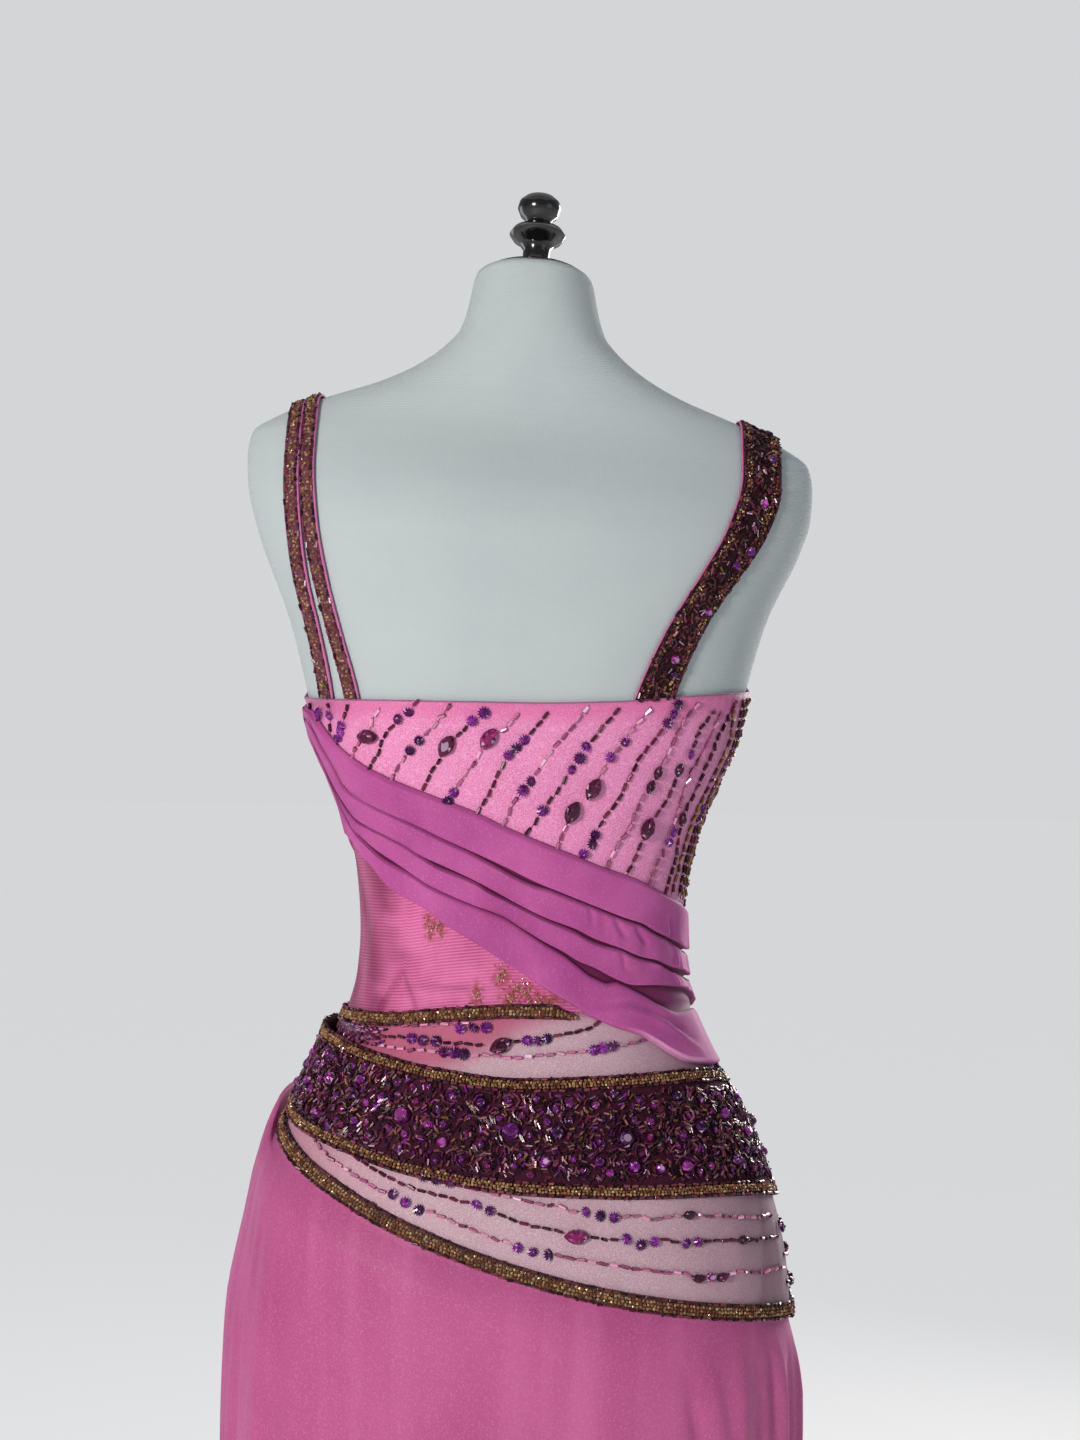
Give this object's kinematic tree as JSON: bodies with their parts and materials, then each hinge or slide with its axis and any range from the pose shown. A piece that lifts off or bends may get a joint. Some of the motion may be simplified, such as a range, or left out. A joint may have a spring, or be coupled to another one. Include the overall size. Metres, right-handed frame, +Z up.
{
  "type": "mermaid evening dress on a dress form",
  "caption": "Fitted evening dress with beaded shoulder straps, a wrapped pleated sash, a beaded hip belt and a flared skirt, worn on a limbless dress form with a pole and a round base.",
  "frame": {"origin": "middle of the base's flat underside, on the floor", "axes": "+Z up, -Y the garment's front, +X the garment's own left side"},
  "size_m": [0.7165, 0.706, 1.5424],
  "materials": {
    "bodice_satin": "pink satin under a beaded net",
    "waist_mesh": "gathered fine mesh over deeper pink",
    "chiffon": "pleated mauve pink chiffon",
    "net": "pale illusion net with beaded strands",
    "crepe": "satin-backed crepe with a fine sparkle",
    "beading": "gold and bronze seed beads sewn close together",
    "dark_beading": "plum beads with purple stones sewn close together",
    "linen": "pale grey-green linen",
    "lacquer": "gloss black lacquer"
  },
  "bodies": {
    "root": {"bodice_back": "bodice_satin", "bodice_front": "bodice_satin", "waist_back": "waist_mesh", "waist_front": "waist_mesh", "sash_back": "chiffon", "sash_front": "chiffon", "yoke_back": "net", "yoke_front": "net", "band_top_back": "beading", "band_top_front": "beading", "belt_back": "dark_beading", "belt_front": "dark_beading", "band_low_back": "beading", "band_low_front": "beading", "skirt_back": "crepe", "skirt_front": "crepe", "strap_left_outer": "beading", "strap_left_inner": "beading", "strap_right": "dark_beading", "form_torso": "linen", "form_neck_cap": "lacquer", "form_pole": "lacquer", "form_base": "lacquer"}
  },
  "joints": []
}
